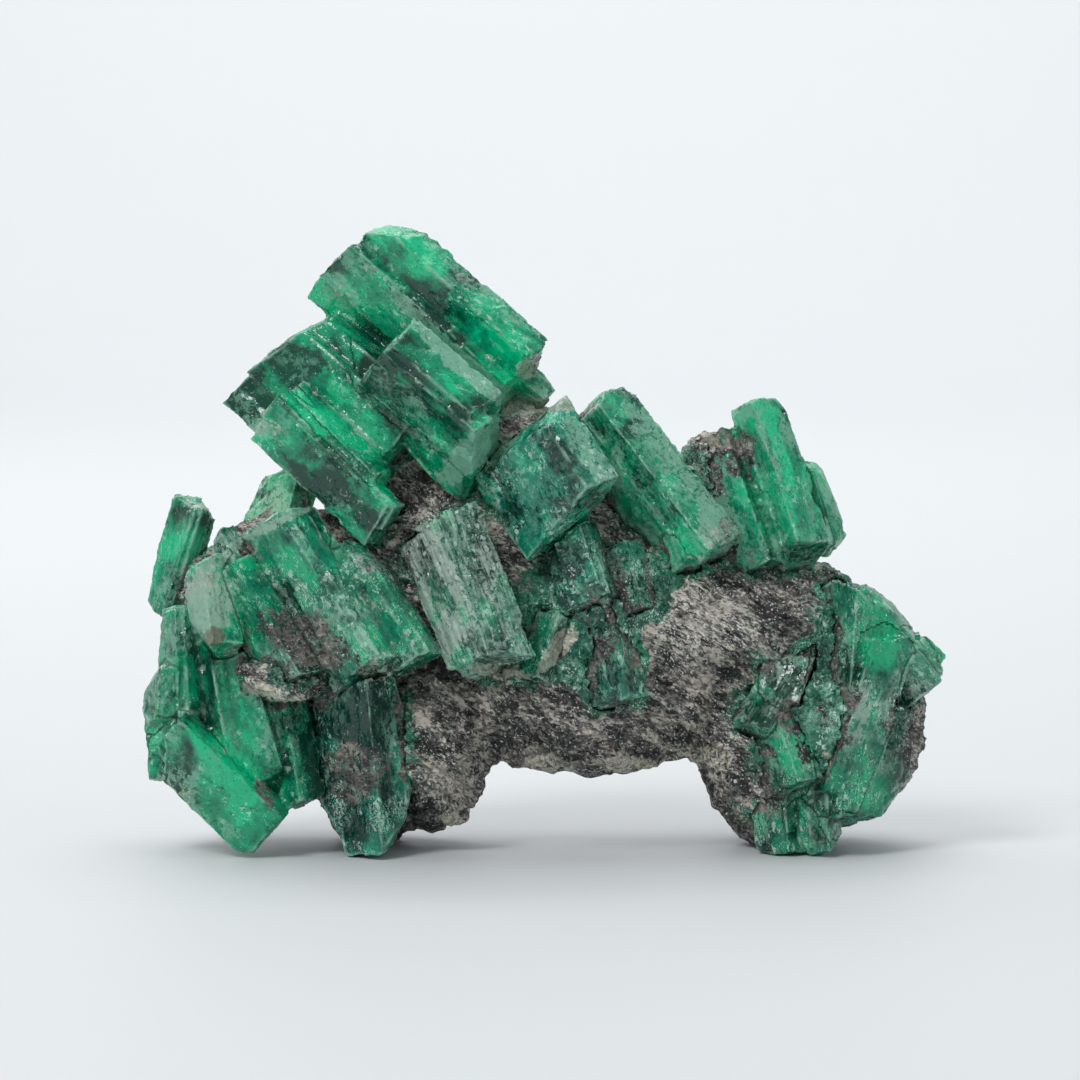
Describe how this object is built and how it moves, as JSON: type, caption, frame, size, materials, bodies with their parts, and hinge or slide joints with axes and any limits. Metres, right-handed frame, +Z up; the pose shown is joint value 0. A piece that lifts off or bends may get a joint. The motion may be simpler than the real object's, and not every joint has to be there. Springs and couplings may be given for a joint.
{
  "type": "emerald in matrix",
  "caption": "Mineral specimen: intergrown, broken green beryl prisms leaning over a bridge-shaped matrix of dark mica schist with an open arch under it.",
  "frame": {"origin": "centre of the bounding box in plan, at the level that the feet stand on", "axes": "+X to the right along the length, -Y towards the viewer of the best side, +Z up"},
  "size_m": [0.162, 0.0664, 0.1263],
  "materials": {
    "emerald": "glossy to silky beryl, slightly translucent, with pale veils and specks",
    "pale_beryl": "lighter, greyer green beryl, silky, slightly translucent",
    "schist": "dark mica schist, rough, with silvery flakes and cream feldspar"
  },
  "bodies": {
    "root": {"schist_matrix": "schist", "tower_crystals": "emerald", "block_crystal": "emerald", "leaning_crystal": "emerald", "right_ridge_crystals": "emerald", "striated_crystal": "pale_beryl", "left_block_crystals": "pale_beryl", "left_point_crystal": "emerald", "back_left_crystal": "pale_beryl", "left_foot_crystals": "emerald", "second_foot_crystal": "emerald", "right_foot_crystals": "pale_beryl", "small_front_crystals": "emerald", "small_left_crystal": "pale_beryl", "back_tall_crystals": "emerald", "back_low_crystal": "emerald", "back_right_crystals": "emerald"}
  },
  "joints": []
}
